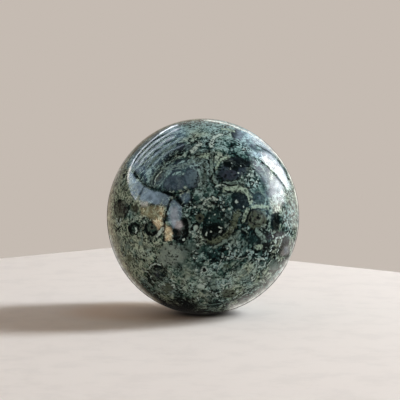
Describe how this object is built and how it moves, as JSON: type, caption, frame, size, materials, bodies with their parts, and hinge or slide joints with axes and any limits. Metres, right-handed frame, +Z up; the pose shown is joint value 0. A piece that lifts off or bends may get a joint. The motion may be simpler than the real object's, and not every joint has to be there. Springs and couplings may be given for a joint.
{
  "type": "green jasper sphere",
  "caption": "Polished ball of dark green orbicular jasper with a small ground seat, for standing loose on a shelf or table.",
  "frame": {"origin": "centre of the ground seat on the underside, on the surface that the ball stands on", "axes": "+Z up through the middle of the ball; -Y is the side that the picture shows"},
  "size_m": [0.0794, 0.0794, 0.0807],
  "materials": {
    "green_jasper": "high polish, dark green with near-black eyes, pale sage bands and threads"
  },
  "bodies": {
    "root": {"jasper_ball": "green_jasper"}
  },
  "joints": []
}
